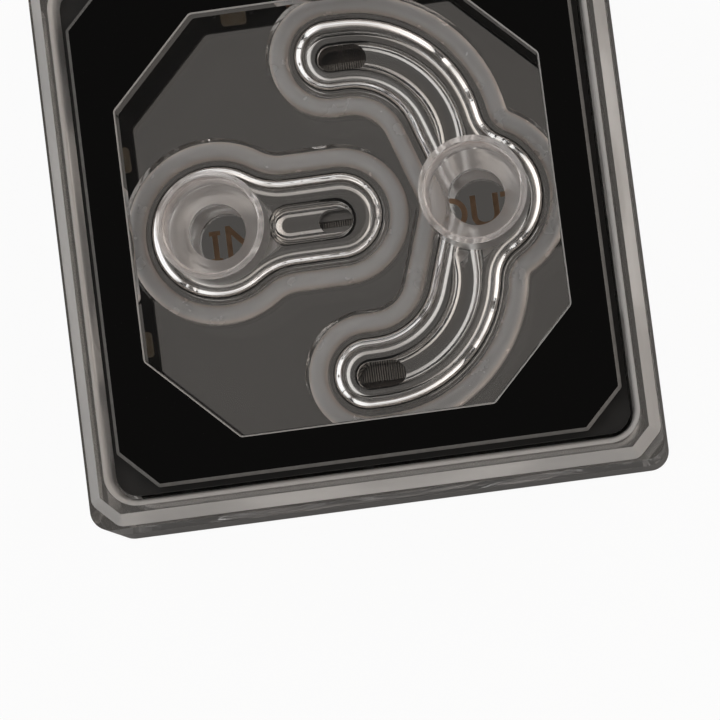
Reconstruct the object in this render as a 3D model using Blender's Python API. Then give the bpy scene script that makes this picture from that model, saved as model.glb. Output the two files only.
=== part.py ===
"""CPU water block with a clear milled cover, two sealed water channels and a finned cold plate.

Metres, +Z up. The origin is the middle of the cold plate's underside, the inlet is at -X and the
outlet at +X. The pieces are stacked from the cold plate up: jet plate, plated flow body, seals,
clear cover, ring of lights and black bezel.
"""
import math

import bmesh
import bpy
from mathutils import Vector

# Outline and heights of the stack
SIDE = 0.072
CORNER_R = 0.00255
COLD_PLATE_T = 0.003
FLOW_BODY_T = 0.0075
COVER_T = 0.0139
GAP = 0.0003
PLATE_PROUD = 0.0006

# Raised rim of the cover and the trench that holds the lights and the bezel
RIM_LEDGE = 0.0003
RIM_CHAMFER = 0.00315
RIM_SLOPE_WIDTH = 0.0014
RIM_SLOPE_DROP = 0.002
RIM_CREST = 0.0007
RIM_SHOULDER_R = 0.0007
TRENCH_WALL_LEAN = 0.0004
TRENCH_DEPTH = 0.0042
TRENCH_CORNER_R = 0.0031

# Black bezel and its octagonal window
BEZEL_MARGIN = 0.0009
BEZEL_WIDTH = 0.005
BEZEL_CHAMFER = 0.0048
BEZEL_T = 0.0015
BEZEL_BEVEL = 0.00045
WINDOW_CHAMFER = 0.0108
EDGE_BREAK = 0.00025
SOFT_CORNER_R = 0.0006

# Threaded ports
PORT_SPACING = 0.033
PORT_MINOR_R = 0.0059
PORT_MOUTH_R = 0.0068
PORT_DEPTH = 0.0066
PORT_CONE_DROP = 0.0013
PORT_BORE_R = 0.0036

# Milled channels in the flow body
INLET_TROUGH_R = 0.00275
INLET_SLOT_X = -0.0018
INLET_SLOT_LENGTH = 0.0044
INLET_SLOT_WIDTH = 0.003
OUTLET_TROUGH_R = 0.0021
OUTLET_ARM_Y = 0.0203
OUTLET_END_X = 0.0003
OUTLET_SLOT_X = 0.0016
OUTLET_SLOT_LENGTH = 0.0061
OUTLET_SLOT_WIDTH = 0.0035
OUTLET_ARM_TO_PORT = 0.0024
OUTLET_BEND_R = 0.0123
OUTLET_TROUGH_END_Y = 0.0063
INLET_TROUGH_END_X = -0.00755

# Channel seals, their grooves and the rounded pockets inside them
SEAL_R = 0.00135
SEAL_PORT_R = 0.0105
INLET_SEAL_X = -0.0009
INLET_SEAL_OFFSET = 0.0076
INLET_FILLET_R = 0.006
OUTLET_SEAL_OFFSET = 0.0065
OUTLET_FILLET_R = 0.0025
OUTLET_WAIST_R = 0.004
SEAL_LAND = 0.00075
POCKET_WALL = 0.0004
POCKET_DEPTH = 0.0042
POCKET_ROUND = 0.0034

# Fins, jet plate and the chamber under the flow body
FIN_MARGIN_X = 0.0105
FIN_MARGIN_Y = 0.0094
FIN_PITCH = 0.0003
FIN_T = 0.00015
FIN_HEIGHT = 0.002
FIN_ROOT = 0.0004
CHAMBER_MARGIN_X = 0.0008
CHAMBER_MARGIN_Y = 0.0022
CHAMBER_CORNER_R = 0.0015
JET_PLATE_T = 0.0006
JET_PLATE_SETBACK = 0.0024
JET_SLIT_END = 0.003
JET_SLIT_WIDTH = 0.0009
JET_PLENUM_DEPTH = 0.001
JET_PLENUM_WIDTH = 0.005

# Cold plate, its seal and its screws
COLD_PLATE_MARGIN_X = 0.0105
COLD_PLATE_MARGIN_Y = 0.006
COLD_PLATE_CORNER_R = 0.003
PLATE_SEAL_R = 0.0009
PLATE_SEAL_INSET = 0.0021
PLATE_SEAL_CORNER_R = 0.003
PLATE_SCREW_MARGIN = 0.0033
PLATE_SCREW_STEP_Y = 0.009
PLATE_SCREW_R = 0.00125
PLATE_SCREW_HEAD_R = 0.0024
PLATE_SCREW_HEAD_H = 0.0013
PLATE_SCREW_GRIP = 0.0036

# Screws that clamp the cover to the flow body from below
COVER_SCREW_MARGIN = 0.0065
COVER_SCREW_Y = 0.018
COVER_SCREW_R = 0.0015
COVER_SCREW_HEAD_R = 0.00275
COVER_SCREW_HEAD_H = 0.0024
COVER_SCREW_GRIP = 0.0058
HEX_SHARE = 0.45
SOCKET_SHARE = 0.6

# Ring of lights and its socket
BOARD_T = 0.0008
LIGHT_SIZE = 0.0032
LIGHT_T = 0.001
LIGHT_CORNER_R = 0.0004
LIGHT_STEP = 0.012
HEADER_X = 0.0076
HEADER_H = 0.0016
HEADER_WALL = 0.0005
HEADER_PIN = 0.0004
HEADER_PIN_STEP = 0.002
HEADER_INSET = 0.0004

ARC_SAG = 0.00007
TURN_STEPS = 32
SCREW_STEPS = 16
SECTION_STEPS = 10
ROUND_STEPS = 4
SHARP_ANGLE = math.radians(35)
PAST = 0.001

HALF = SIDE / 2
SKIRT_BASE = PLATE_PROUD
BODY_BASE = COLD_PLATE_T + GAP
BODY_TOP = BODY_BASE + FLOW_BODY_T
COVER_BASE = BODY_TOP + GAP
TOP = COVER_BASE + COVER_T
TRENCH_FLOOR = TOP - TRENCH_DEPTH
TRENCH_HALF = (HALF - RIM_LEDGE - RIM_SLOPE_WIDTH - RIM_CREST - RIM_SHOULDER_R
               - TRENCH_WALL_LEAN)
BEZEL_HALF = TRENCH_HALF - BEZEL_MARGIN
WINDOW_HALF = BEZEL_HALF - BEZEL_WIDTH
BEZEL_BASE = TOP - BEZEL_T
PORT_X = PORT_SPACING / 2
GROOVE_HALF = SEAL_R + GAP
BEND_X = PORT_X - OUTLET_ARM_TO_PORT - OUTLET_BEND_R
BEND_Y = OUTLET_ARM_Y - OUTLET_BEND_R
COLD_PLATE_X = SIDE - 2 * COLD_PLATE_MARGIN_X
COLD_PLATE_Y = SIDE - 2 * COLD_PLATE_MARGIN_Y
FIN_FIELD_X = COLD_PLATE_X - 2 * FIN_MARGIN_X
FIN_FIELD_Y = COLD_PLATE_Y - 2 * FIN_MARGIN_Y
JET_PLATE_Y = FIN_FIELD_Y - 2 * JET_PLATE_SETBACK
JET_SLIT_LENGTH = FIN_FIELD_X - 2 * JET_SLIT_END
FIN_TIP = COLD_PLATE_T + FIN_HEIGHT
JET_PLATE_BASE = FIN_TIP + GAP
CHAMBER_TOP = JET_PLATE_BASE + JET_PLATE_T + GAP
CHAMBER_X = FIN_FIELD_X / 2 + CHAMBER_MARGIN_X
CHAMBER_Y = FIN_FIELD_Y / 2 + CHAMBER_MARGIN_Y


def material(name, colour, roughness, metallic=0.0, clear=False):
    """A Principled material in the piece's own colour."""
    made = bpy.data.materials.new(name)
    made.use_nodes = True
    shader = made.node_tree.nodes["Principled BSDF"]
    shader.inputs["Base Color"].default_value = (*colour, 1.0)
    shader.inputs["Roughness"].default_value = roughness
    shader.inputs["Metallic"].default_value = metallic
    if clear:
        shader.inputs["Transmission Weight"].default_value = 1.0
        shader.inputs["IOR"].default_value = 1.49
    made.diffuse_color = (*colour, 1.0)
    return made


def belt(circles, offset=0.0, closed=True):
    """Points of a line drawn tight round circles (x, y, radius, side).

    Side +1 turns left round its circle and -1 turns right, so a -1 circle is a hollow. A positive
    offset moves the whole line outwards, to the right of its travel.
    """
    count = len(circles)
    legs = count if closed else count - 1
    heading = []
    for i in range(legs):
        x0, y0, r0, s0 = circles[i]
        x1, y1, r1, s1 = circles[(i + 1) % count]
        span = math.hypot(x1 - x0, y1 - y0)
        lean = max(-1.0, min(1.0, (s0 * r0 - s1 * r1) / span))
        heading.append(math.atan2(y1 - y0, x1 - x0) + math.asin(lean))
    points = []
    for i, (x, y, r, side) in enumerate(circles):
        into = heading[i - 1] if closed or i else heading[0]
        out = heading[i] if closed or i < legs else heading[-1]
        turn = (out - into) % (2 * math.pi)
        if turn > 2 * math.pi - 1e-6:
            turn = 0.0
        if side < 0 and turn:
            turn -= 2 * math.pi
        steps = 0
        if turn:
            facet = 2 * math.acos(1 - min(ARC_SAG / r, 1.0))
            steps = max(1, math.ceil(abs(turn) / facet - 1e-6))
        reach = r + side * offset
        for k in range(steps + 1):
            angle = into + turn * (k / steps if steps else 0) - side * math.pi / 2
            points.append((x + reach * math.cos(angle), y + reach * math.sin(angle)))
    return points


def rounded_box(half_x, half_y, radius):
    """The four corner circles of a rounded rectangle."""
    x, y = half_x - radius, half_y - radius
    return [(x, -y, radius, 1), (x, y, radius, 1), (-x, y, radius, 1), (-x, -y, radius, 1)]


def octagon(half, chamfer, radius=SOFT_CORNER_R):
    """The eight softly rounded corners of a square with its corners cut at 45 degrees."""
    near = half - chamfer - radius * math.tan(math.pi / 8)
    far = half - radius
    ring = [(far, -near), (far, near), (near, far), (-near, far),
            (-far, near), (-far, -near), (-near, -far), (near, -far)]
    return [(x, y, radius, 1) for x, y in ring]


def mirrored_y(circles):
    """The same circles in mirror image across the X axis, in reverse order."""
    return [(x, -y, r, side) for x, y, r, side in reversed(circles)]


def loft(name, rings, skin=None, closed=False):
    """One closed body through rings of equal count; closed joins the last ring to the first."""
    bm = bmesh.new()
    rows = [[bm.verts.new(p) for p in ring] for ring in rings]
    pairs = list(zip(rows, rows[1:]))
    if closed:
        pairs.append((rows[-1], rows[0]))
    else:
        bm.faces.new(rows[0])
        bm.faces.new(rows[-1])
    for low, high in pairs:
        for k in range(len(low)):
            n = (k + 1) % len(low)
            bm.faces.new((low[k], low[n], high[n], high[k]))
    bmesh.ops.recalc_face_normals(bm, faces=bm.faces)
    mesh = bpy.data.meshes.new(name)
    bm.to_mesh(mesh)
    bm.free()
    mesh.shade_smooth()
    mesh.set_sharp_from_angle(angle=SHARP_ANGLE)
    body = bpy.data.objects.new(name, mesh)
    bpy.context.scene.collection.objects.link(body)
    if skin:
        mesh.materials.append(skin)
    else:
        body.hide_render = True
        body.display_type = 'WIRE'
    return body


def level(points, z):
    return [(x, y, z) for x, y in points]


def prism(name, circles, z0, z1, skin=None):
    """An upright body on a belt outline."""
    outline = belt(circles)
    return loft(name, [level(outline, z0), level(outline, z1)], skin)


def stacked(name, circles, levels, skin=None):
    """A body whose outline is offset from level to level; levels are (offset, z)."""
    return loft(name, [level(belt(circles, offset), z) for offset, z in levels], skin)


def turned(name, profile, centre=(0.0, 0.0), steps=TURN_STEPS, skin=None):
    """A body turned on an upright axis; the profile is (radius, z) from one end to the other."""
    rings = []
    for radius, z in profile:
        angles = [2 * math.pi * k / steps for k in range(steps)]
        rings.append([(centre[0] + radius * math.cos(a), centre[1] + radius * math.sin(a), z)
                      for a in angles])
    return loft(name, rings, skin)


def ring(name, circles, half_width, z0, z1, skin=None):
    """A ring of rectangular section that follows a belt."""
    corners = [(half_width, z0), (half_width, z1), (-half_width, z1), (-half_width, z0)]
    rings = [level(belt(circles, offset), z) for offset, z in corners]
    return loft(name, rings, skin, closed=True)


def cord_ring(name, circles, radius, z, skin):
    """A ring of round section that follows a belt."""
    rings = []
    for k in range(SECTION_STEPS):
        angle = 2 * math.pi * (k + 0.5) / SECTION_STEPS
        rings.append(level(belt(circles, radius * math.cos(angle)), z + radius * math.sin(angle)))
    return loft(name, rings, skin, closed=True)


def ball_ended_rod(name, path, radius, z):
    """A round bar with ball ends along a level path: the sweep of a ball-nosed cutter."""
    spine = [Vector((x, y)) for x, y in path]
    spine = [p for i, p in enumerate(spine) if not i or (p - spine[i - 1]).length > 1e-6]
    headings = []
    for i in range(len(spine)):
        ahead = spine[min(i + 1, len(spine) - 1)] - spine[max(i - 1, 0)]
        headings.append(ahead.normalized())
    quarter = SECTION_STEPS // 2
    stations = []
    for k in range(1, quarter + 1):
        angle = math.pi / 2 * k / quarter
        stations.append((spine[0] - headings[0] * radius * math.cos(angle), headings[0],
                         radius * math.sin(angle)))
    for point, heading in zip(spine[1:-1], headings[1:-1]):
        stations.append((point, heading, radius))
    for k in range(quarter, 0, -1):
        angle = math.pi / 2 * k / quarter
        stations.append((spine[-1] + headings[-1] * radius * math.cos(angle), headings[-1],
                         radius * math.sin(angle)))
    rings = []
    for point, heading, reach in stations:
        row = []
        for k in range(2 * SECTION_STEPS):
            angle = math.pi * (k + 0.5) / SECTION_STEPS
            side = reach * math.cos(angle)
            row.append((point.x - heading.y * side, point.y + heading.x * side,
                        z + reach * math.sin(angle)))
        rings.append(row)
    return loft(name, rings)


def combine(body, tools, operation='DIFFERENCE'):
    """Exact booleans that stay on the body, one for each tool."""
    for tool in tools:
        step = body.modifiers.new(tool.name, 'BOOLEAN')
        step.operation = operation
        step.solver = 'EXACT'
        step.object = tool
        tool.hide_render = True
        tool.display_type = 'WIRE'
    return body


def slot(length, width, x=0.0, y=0.0):
    """The two end circles of a straight slot along X."""
    reach = (length - width) / 2
    return [(x + reach, y, width / 2, 1), (x - reach, y, width / 2, 1)]


# Corner and side places that several pieces share
COVER_SCREW_XY = [(sx * (HALF - COVER_SCREW_MARGIN), sy * COVER_SCREW_Y)
                  for sx in (-1, 1) for sy in (-1, 1)]
PLATE_SCREW_X = COLD_PLATE_X / 2 - PLATE_SCREW_MARGIN
PLATE_SCREW_Y = COLD_PLATE_Y / 2 - PLATE_SCREW_MARGIN
PLATE_SCREW_XY = [(sx * PLATE_SCREW_X, sy * y)
                  for sx in (-1, 1) for sy in (-1, 1) for y in (PLATE_SCREW_STEP_Y, PLATE_SCREW_Y)]
HEADER_Y = BEZEL_HALF


def inlet_seal_path():
    """Round the inlet port, then along both sides of the trough and round its end."""
    fillet_y = INLET_SEAL_OFFSET + INLET_FILLET_R
    fillet_x = -PORT_X + math.sqrt(max((SEAL_PORT_R + INLET_FILLET_R) ** 2 - fillet_y ** 2, 0.0))
    return [(-PORT_X, 0.0, SEAL_PORT_R, 1), (fillet_x, -fillet_y, INLET_FILLET_R, -1),
            (INLET_SEAL_X, 0.0, INLET_SEAL_OFFSET, 1), (fillet_x, fillet_y, INLET_FILLET_R, -1)]


def outlet_seal_path():
    """Round the outlet port and both curved arms, with a waist that clears the inlet's seal."""
    outer = OUTLET_BEND_R + OUTLET_SEAL_OFFSET
    inner = OUTLET_BEND_R - OUTLET_SEAL_OFFSET
    base = Vector((BEND_X, -BEND_Y))
    port = Vector((PORT_X, 0.0))
    span = (port - base).length
    from_base = outer + OUTLET_FILLET_R
    from_port = SEAL_PORT_R + OUTLET_FILLET_R
    along = (from_base ** 2 - from_port ** 2 + span ** 2) / (2 * span)
    aside = math.sqrt(max(from_base ** 2 - along ** 2, 0.0))
    unit = (port - base) / span
    fillet = base + unit * along + Vector((unit.y, -unit.x)) * aside
    waist_x = INLET_SEAL_X + INLET_SEAL_OFFSET + 2 * GROOVE_HALF + SEAL_LAND - OUTLET_WAIST_R
    lower = [(BEND_X, -BEND_Y, inner, -1), (OUTLET_END_X, -OUTLET_ARM_Y, OUTLET_SEAL_OFFSET, 1),
             (BEND_X, -BEND_Y, outer, 1), (fillet.x, fillet.y, OUTLET_FILLET_R, -1)]
    return ([(waist_x, 0.0, OUTLET_WAIST_R, -1)] + lower + [(PORT_X, 0.0, SEAL_PORT_R, 1)]
            + mirrored_y(lower))


def outlet_trough_path(side):
    """From the slot, round the bend and up to the port; side is -1 for the arm at -Y."""
    arm = [(OUTLET_END_X, -OUTLET_ARM_Y, 0.0, 1), (BEND_X, -BEND_Y, OUTLET_BEND_R, 1),
           (BEND_X + OUTLET_BEND_R, -OUTLET_TROUGH_END_Y, 0.0, 1)]
    return belt(arm if side < 0 else mirrored_y(arm), closed=False)


def make_cold_plate(skin):
    """Copper plate with a comb of thin fins cut out of the same block."""
    blank = rounded_box(COLD_PLATE_X / 2, COLD_PLATE_Y / 2, COLD_PLATE_CORNER_R)
    plate = prism("cold_plate", blank, 0.0, COLD_PLATE_T, skin)
    count = round(FIN_FIELD_X / FIN_PITCH)
    start = -(count - 1) * FIN_PITCH / 2
    root = COLD_PLATE_T - FIN_ROOT
    web = root + FIN_ROOT / 2
    profile = [(start - FIN_T / 2, root)]
    for k in range(count):
        centre = start + k * FIN_PITCH
        profile += [(centre - FIN_T / 2, web), (centre - FIN_T / 2, FIN_TIP),
                    (centre + FIN_T / 2, FIN_TIP), (centre + FIN_T / 2, web)]
    profile.append((-start + FIN_T / 2, root))
    ends = [[(x, y, z) for x, z in profile] for y in (-FIN_FIELD_Y / 2, FIN_FIELD_Y / 2)]
    combine(plate, [loft("fin_comb", ends)], 'UNION')
    sink = PLATE_SCREW_HEAD_R + GAP
    neck = PLATE_SCREW_R + GAP
    depth = PLATE_SCREW_HEAD_H + GAP
    bores = [turned(f"plate_bore_{i}", [(sink, -PAST), (sink, GAP), (neck, depth),
                                        (neck, COLD_PLATE_T + PAST)], xy, SCREW_STEPS)
             for i, xy in enumerate(PLATE_SCREW_XY)]
    return combine(plate, bores)


def make_jet_plate(skin):
    """Thin plate over the fins with one slit that spreads the inlet flow."""
    outline = rounded_box(CHAMBER_X - GAP, JET_PLATE_Y / 2, CHAMBER_CORNER_R)
    top = JET_PLATE_BASE + JET_PLATE_T
    plate = prism("jet_plate", outline, JET_PLATE_BASE, top, skin)
    slit = prism("jet_slit", slot(JET_SLIT_LENGTH, JET_SLIT_WIDTH), JET_PLATE_BASE - PAST, top + PAST)
    return combine(plate, [slit])


def plate_seal_path():
    reach = PLATE_SEAL_INSET + PLATE_SEAL_R
    return rounded_box(CHAMBER_X + reach, CHAMBER_Y + reach, PLATE_SEAL_CORNER_R)


def make_flow_body(skin):
    """Plated body with the troughs milled in its top, and the fin chamber and a seat for the
    cold plate in its underside."""
    blank = rounded_box(HALF, HALF, CORNER_R)
    levels = [(-EDGE_BREAK, SKIRT_BASE), (0.0, SKIRT_BASE + EDGE_BREAK), (0.0, BODY_TOP)]
    body = stacked("flow_body", blank, levels, skin)
    seat = rounded_box(COLD_PLATE_X / 2 + GAP, COLD_PLATE_Y / 2 + GAP, COLD_PLATE_CORNER_R + GAP)
    chamber = rounded_box(CHAMBER_X, CHAMBER_Y, CHAMBER_CORNER_R)
    plenum_top = CHAMBER_TOP + JET_PLENUM_DEPTH
    plenum = slot(JET_SLIT_LENGTH + JET_PLENUM_WIDTH, JET_PLENUM_WIDTH)
    inlet_trough = [(INLET_TROUGH_END_X, 0.0), (INLET_SLOT_X, 0.0)]
    tools = [prism("plate_seat", seat, SKIRT_BASE - PAST, BODY_BASE),
             ball_ended_rod("inlet_trough", inlet_trough, INLET_TROUGH_R, BODY_TOP),
             prism("chamber", chamber, BODY_BASE - PAST, CHAMBER_TOP),
             prism("plenum", plenum, CHAMBER_TOP - PAST, plenum_top),
             prism("inlet_slot", slot(INLET_SLOT_LENGTH, INLET_SLOT_WIDTH, INLET_SLOT_X),
                   CHAMBER_TOP, BODY_TOP + PAST)]
    for side in (-1, 1):
        tools.append(ball_ended_rod(f"outlet_trough_{side}", outlet_trough_path(side),
                                    OUTLET_TROUGH_R, BODY_TOP))
        place = slot(OUTLET_SLOT_LENGTH, OUTLET_SLOT_WIDTH, OUTLET_SLOT_X, side * OUTLET_ARM_Y)
        tools.append(prism(f"outlet_slot_{side}", place, CHAMBER_TOP - PAST, BODY_TOP + PAST))
    tools.append(ring("plate_seal_groove", plate_seal_path(), PLATE_SEAL_R + GAP,
                      BODY_BASE - PAST, BODY_BASE + 2 * PLATE_SEAL_R + GAP))
    thread = PLATE_SCREW_R + GAP
    thread_top = COLD_PLATE_T + PLATE_SCREW_GRIP + 2 * GAP
    for i, xy in enumerate(PLATE_SCREW_XY):
        tools.append(turned(f"plate_thread_{i}", [(thread, BODY_BASE - PAST), (thread, thread_top)],
                            xy, SCREW_STEPS))
    shelf = SKIRT_BASE + COVER_SCREW_HEAD_H + 2 * GAP
    head, shank = COVER_SCREW_HEAD_R + GAP, COVER_SCREW_R + GAP
    for i, xy in enumerate(COVER_SCREW_XY):
        steps = [(head, SKIRT_BASE - PAST), (head, shelf), (shank, shelf), (shank, BODY_TOP + PAST)]
        tools.append(turned(f"cover_bore_{i}", steps, xy, SCREW_STEPS))
    return combine(body, tools)


def make_cover(skin):
    """Clear block: sloped rim, trench for the bezel, two ports, two round pockets, two grooves."""
    cover = prism("clear_cover", rounded_box(HALF, HALF, CORNER_R), COVER_BASE, TOP, skin)

    rim = octagon(HALF - RIM_LEDGE, RIM_CHAMFER, RIM_SLOPE_WIDTH + EDGE_BREAK)
    fall = RIM_SLOPE_WIDTH / RIM_SLOPE_DROP
    foot = TOP - RIM_SLOPE_DROP
    waste = prism("rim_waste", rounded_box(HALF + PAST, HALF + PAST, CORNER_R), foot, TOP + PAST)
    keep = stacked("rim_keep", rim, [(PAST * fall, foot - PAST), (0.0, foot),
                                     (-RIM_SLOPE_WIDTH, TOP), (-RIM_SLOPE_WIDTH, TOP + 2 * PAST)])
    combine(waste, [keep])

    trench_outline = rounded_box(TRENCH_HALF, TRENCH_HALF, TRENCH_CORNER_R)
    shoulder = TOP - RIM_SHOULDER_R
    lean = TRENCH_WALL_LEAN
    levels = [(0.0, TRENCH_FLOOR), (lean, shoulder)]
    for k in range(1, ROUND_STEPS + 1):
        angle = math.pi / 2 * k / ROUND_STEPS
        levels.append((lean + RIM_SHOULDER_R * (1 - math.cos(angle)),
                       shoulder + RIM_SHOULDER_R * math.sin(angle)))
    levels.append((lean + RIM_SHOULDER_R, TOP + PAST))
    trench = stacked("trench", trench_outline, levels)
    core = stacked("window_core", octagon(WINDOW_HALF - GAP, WINDOW_CHAMFER),
                   [(0.0, TRENCH_FLOOR - PAST), (0.0, TOP - EDGE_BREAK), (-EDGE_BREAK, TOP),
                    (-EDGE_BREAK, TOP + 2 * PAST)])
    combine(trench, [core])

    tools = [waste, trench]
    pocket_top = COVER_BASE + POCKET_DEPTH
    mouth = PORT_MOUTH_R - PORT_MINOR_R
    for side, path in ((-1, inlet_seal_path()), (1, outlet_seal_path())):
        name = "inlet" if side < 0 else "outlet"
        floor = TOP - PORT_DEPTH
        profile = [(PORT_MOUTH_R, TOP + PAST), (PORT_MOUTH_R, TOP), (PORT_MINOR_R, TOP - mouth),
                   (PORT_MINOR_R, floor), (PORT_BORE_R, floor - PORT_CONE_DROP),
                   (PORT_BORE_R, pocket_top - POCKET_ROUND)]
        tools.append(turned(f"{name}_port", profile, (side * PORT_X, 0.0)))
        inset = -(GROOVE_HALF + POCKET_WALL)
        levels = [(inset, COVER_BASE - PAST), (inset, pocket_top - POCKET_ROUND)]
        for k in range(1, ROUND_STEPS + 1):
            angle = math.pi / 2 * k / ROUND_STEPS
            levels.append((inset - POCKET_ROUND * (1 - math.cos(angle)),
                           pocket_top - POCKET_ROUND * (1 - math.sin(angle))))
        tools.append(stacked(f"{name}_pocket", path, levels))
        tools.append(ring(f"{name}_groove", path, GROOVE_HALF, COVER_BASE - PAST,
                          COVER_BASE + 2 * SEAL_R + GAP))
    bore = COVER_SCREW_R + GAP
    reach = BODY_TOP + COVER_SCREW_GRIP + 2 * GAP
    for i, xy in enumerate(COVER_SCREW_XY):
        tools.append(turned(f"cover_thread_{i}", [(bore, COVER_BASE - PAST), (bore, reach)],
                            xy, SCREW_STEPS))
    tools.append(box("header_notch", -HEADER_X / 2 - GAP, HEADER_X / 2 + GAP, TRENCH_HALF - PAST,
                     HALF + PAST, TRENCH_FLOOR, TRENCH_FLOOR + HEADER_H + 2 * GAP))
    return combine(cover, tools)


def box(name, x0, x1, y0, y1, z0, z1, skin=None):
    outline = [(x0, y0), (x1, y0), (x1, y1), (x0, y1)]
    return loft(name, [level(outline, z0), level(outline, z1)], skin)


def make_bezel(skin):
    """Black frame with bevelled edges round its face and an octagonal window."""
    levels = [(0.0, BEZEL_BASE), (0.0, TOP - BEZEL_BEVEL), (-BEZEL_BEVEL, TOP)]
    bezel = stacked("black_bezel", octagon(BEZEL_HALF, BEZEL_CHAMFER), levels, skin)
    window = stacked("bezel_window", octagon(WINDOW_HALF, WINDOW_CHAMFER),
                     [(0.0, BEZEL_BASE - PAST), (0.0, TOP - EDGE_BREAK),
                      (EDGE_BREAK + PAST, TOP + PAST)])
    return combine(bezel, [window])


def make_lights(board_skin, light_skin, header_skin):
    """Ring board under the bezel with its lights facing down into the cover, and its header."""
    top = BEZEL_BASE - GAP
    base = top - BOARD_T
    board = prism("light_board", octagon(BEZEL_HALF - GAP, BEZEL_CHAMFER),
                  base, top, board_skin)
    combine(board, [prism("board_window", octagon(WINDOW_HALF + GAP, WINDOW_CHAMFER),
                          base - PAST, top + PAST)])
    middle = (WINDOW_HALF + BEZEL_HALF) / 2
    places = [(s * middle, t * LIGHT_STEP) for s in (-1, 1) for t in (-1, 1)]
    places += [(y, x) for x, y in places]
    shape = rounded_box(LIGHT_SIZE / 2, LIGHT_SIZE / 2, LIGHT_CORNER_R)
    for i, (x, y) in enumerate(places):
        corners = [(cx + x, cy + y, r, side) for cx, cy, r, side in shape]
        prism(f"light_{i + 1}", corners, base - GAP - LIGHT_T, base - GAP, light_skin)

    outer = HALF - HEADER_INSET
    z0 = TRENCH_FLOOR + GAP
    z1 = z0 + HEADER_H
    half = HEADER_X / 2
    wall = HEADER_WALL
    header = box("light_header", -half, half, HEADER_Y, outer, z0, z1, header_skin)
    hollow = box("header_hollow", -half + wall, half - wall, HEADER_Y + 2 * wall, outer + PAST,
                 z0 + wall, z1 - wall)
    middle_z = (z0 + z1) / 2
    pins = []
    for k in (-1, 0, 1):
        x = k * HEADER_PIN_STEP
        pin = HEADER_PIN / 2
        pins.append(box(f"header_pin_{k + 2}", x - pin, x + pin, HEADER_Y + wall, outer - wall,
                        middle_z - pin, middle_z + pin))
    combine(header, [hollow])
    combine(header, pins, 'UNION')


def hex_socket(name, centre, reach, z0, z1):
    corner = reach / math.cos(math.pi / 6)
    return turned(name, [(corner, z0), (corner, z1)], centre, 6)


def make_plate_screws(skin):
    """Flat head screws that hold the cold plate from below."""
    for i, xy in enumerate(PLATE_SCREW_XY):
        tip = COLD_PLATE_T + PLATE_SCREW_GRIP
        head = PLATE_SCREW_HEAD_H
        screw = turned(f"cold_plate_screw_{i + 1}",
                       [(PLATE_SCREW_HEAD_R, GAP), (PLATE_SCREW_R, GAP + head),
                        (PLATE_SCREW_R, tip - EDGE_BREAK), (PLATE_SCREW_R - EDGE_BREAK, tip)],
                       xy, SCREW_STEPS, skin)
        reach = PLATE_SCREW_HEAD_R * HEX_SHARE
        combine(screw, [hex_socket(f"plate_socket_{i}", xy, reach, -PAST,
                                   GAP + head * SOCKET_SHARE)])


def make_cover_screws(skin):
    """Cap screws sunk in the flow body's underside that clamp the cover."""
    base = SKIRT_BASE + GAP
    seat = base + COVER_SCREW_HEAD_H
    tip = BODY_TOP + COVER_SCREW_GRIP
    for i, xy in enumerate(COVER_SCREW_XY):
        screw = turned(f"cover_screw_{i + 1}",
                       [(COVER_SCREW_HEAD_R - EDGE_BREAK, base), (COVER_SCREW_HEAD_R, base + EDGE_BREAK),
                        (COVER_SCREW_HEAD_R, seat), (COVER_SCREW_R, seat),
                        (COVER_SCREW_R, tip - EDGE_BREAK), (COVER_SCREW_R - EDGE_BREAK, tip)],
                       xy, SCREW_STEPS, skin)
        reach = COVER_SCREW_HEAD_R * HEX_SHARE
        combine(screw, [hex_socket(f"cover_socket_{i}", xy, reach, base - PAST,
                                   base + COVER_SCREW_HEAD_H * SOCKET_SHARE)])


for old in list(bpy.data.objects):
    bpy.data.objects.remove(old, do_unlink=True)

acrylic = material("clear_acrylic", (0.93, 0.94, 0.95), 0.02, clear=True)
black = material("black_gloss", (0.006, 0.006, 0.006), 0.12)
chrome = material("plated_brass", (0.62, 0.61, 0.60), 0.06, 1.0)
nickel = material("plated_copper", (0.60, 0.55, 0.50), 0.18, 1.0)
steel = material("stainless_steel", (0.55, 0.54, 0.53), 0.25, 1.0)
silicone = material("clear_silicone", (0.62, 0.62, 0.64), 0.3)
rubber = material("black_rubber", (0.02, 0.02, 0.02), 0.6)
board = material("black_board", (0.015, 0.015, 0.015), 0.45)
lamp = material("light_package", (0.80, 0.74, 0.58), 0.35)
housing = material("black_plastic", (0.015, 0.015, 0.015), 0.45)

make_cold_plate(nickel)
make_jet_plate(steel)
cord_ring("cold_plate_seal", plate_seal_path(), PLATE_SEAL_R, BODY_BASE + PLATE_SEAL_R, rubber)
make_flow_body(chrome)
seal_height = COVER_BASE + SEAL_R
cord_ring("inlet_seal", inlet_seal_path(), SEAL_R, seal_height, silicone)
cord_ring("outlet_seal", outlet_seal_path(), SEAL_R, seal_height, silicone)
make_cover(acrylic)
make_bezel(black)
make_lights(board, lamp, housing)
make_plate_screws(steel)
make_cover_screws(steel)
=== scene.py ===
import math

import bmesh
import bpy
from mathutils import Matrix, Vector


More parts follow.
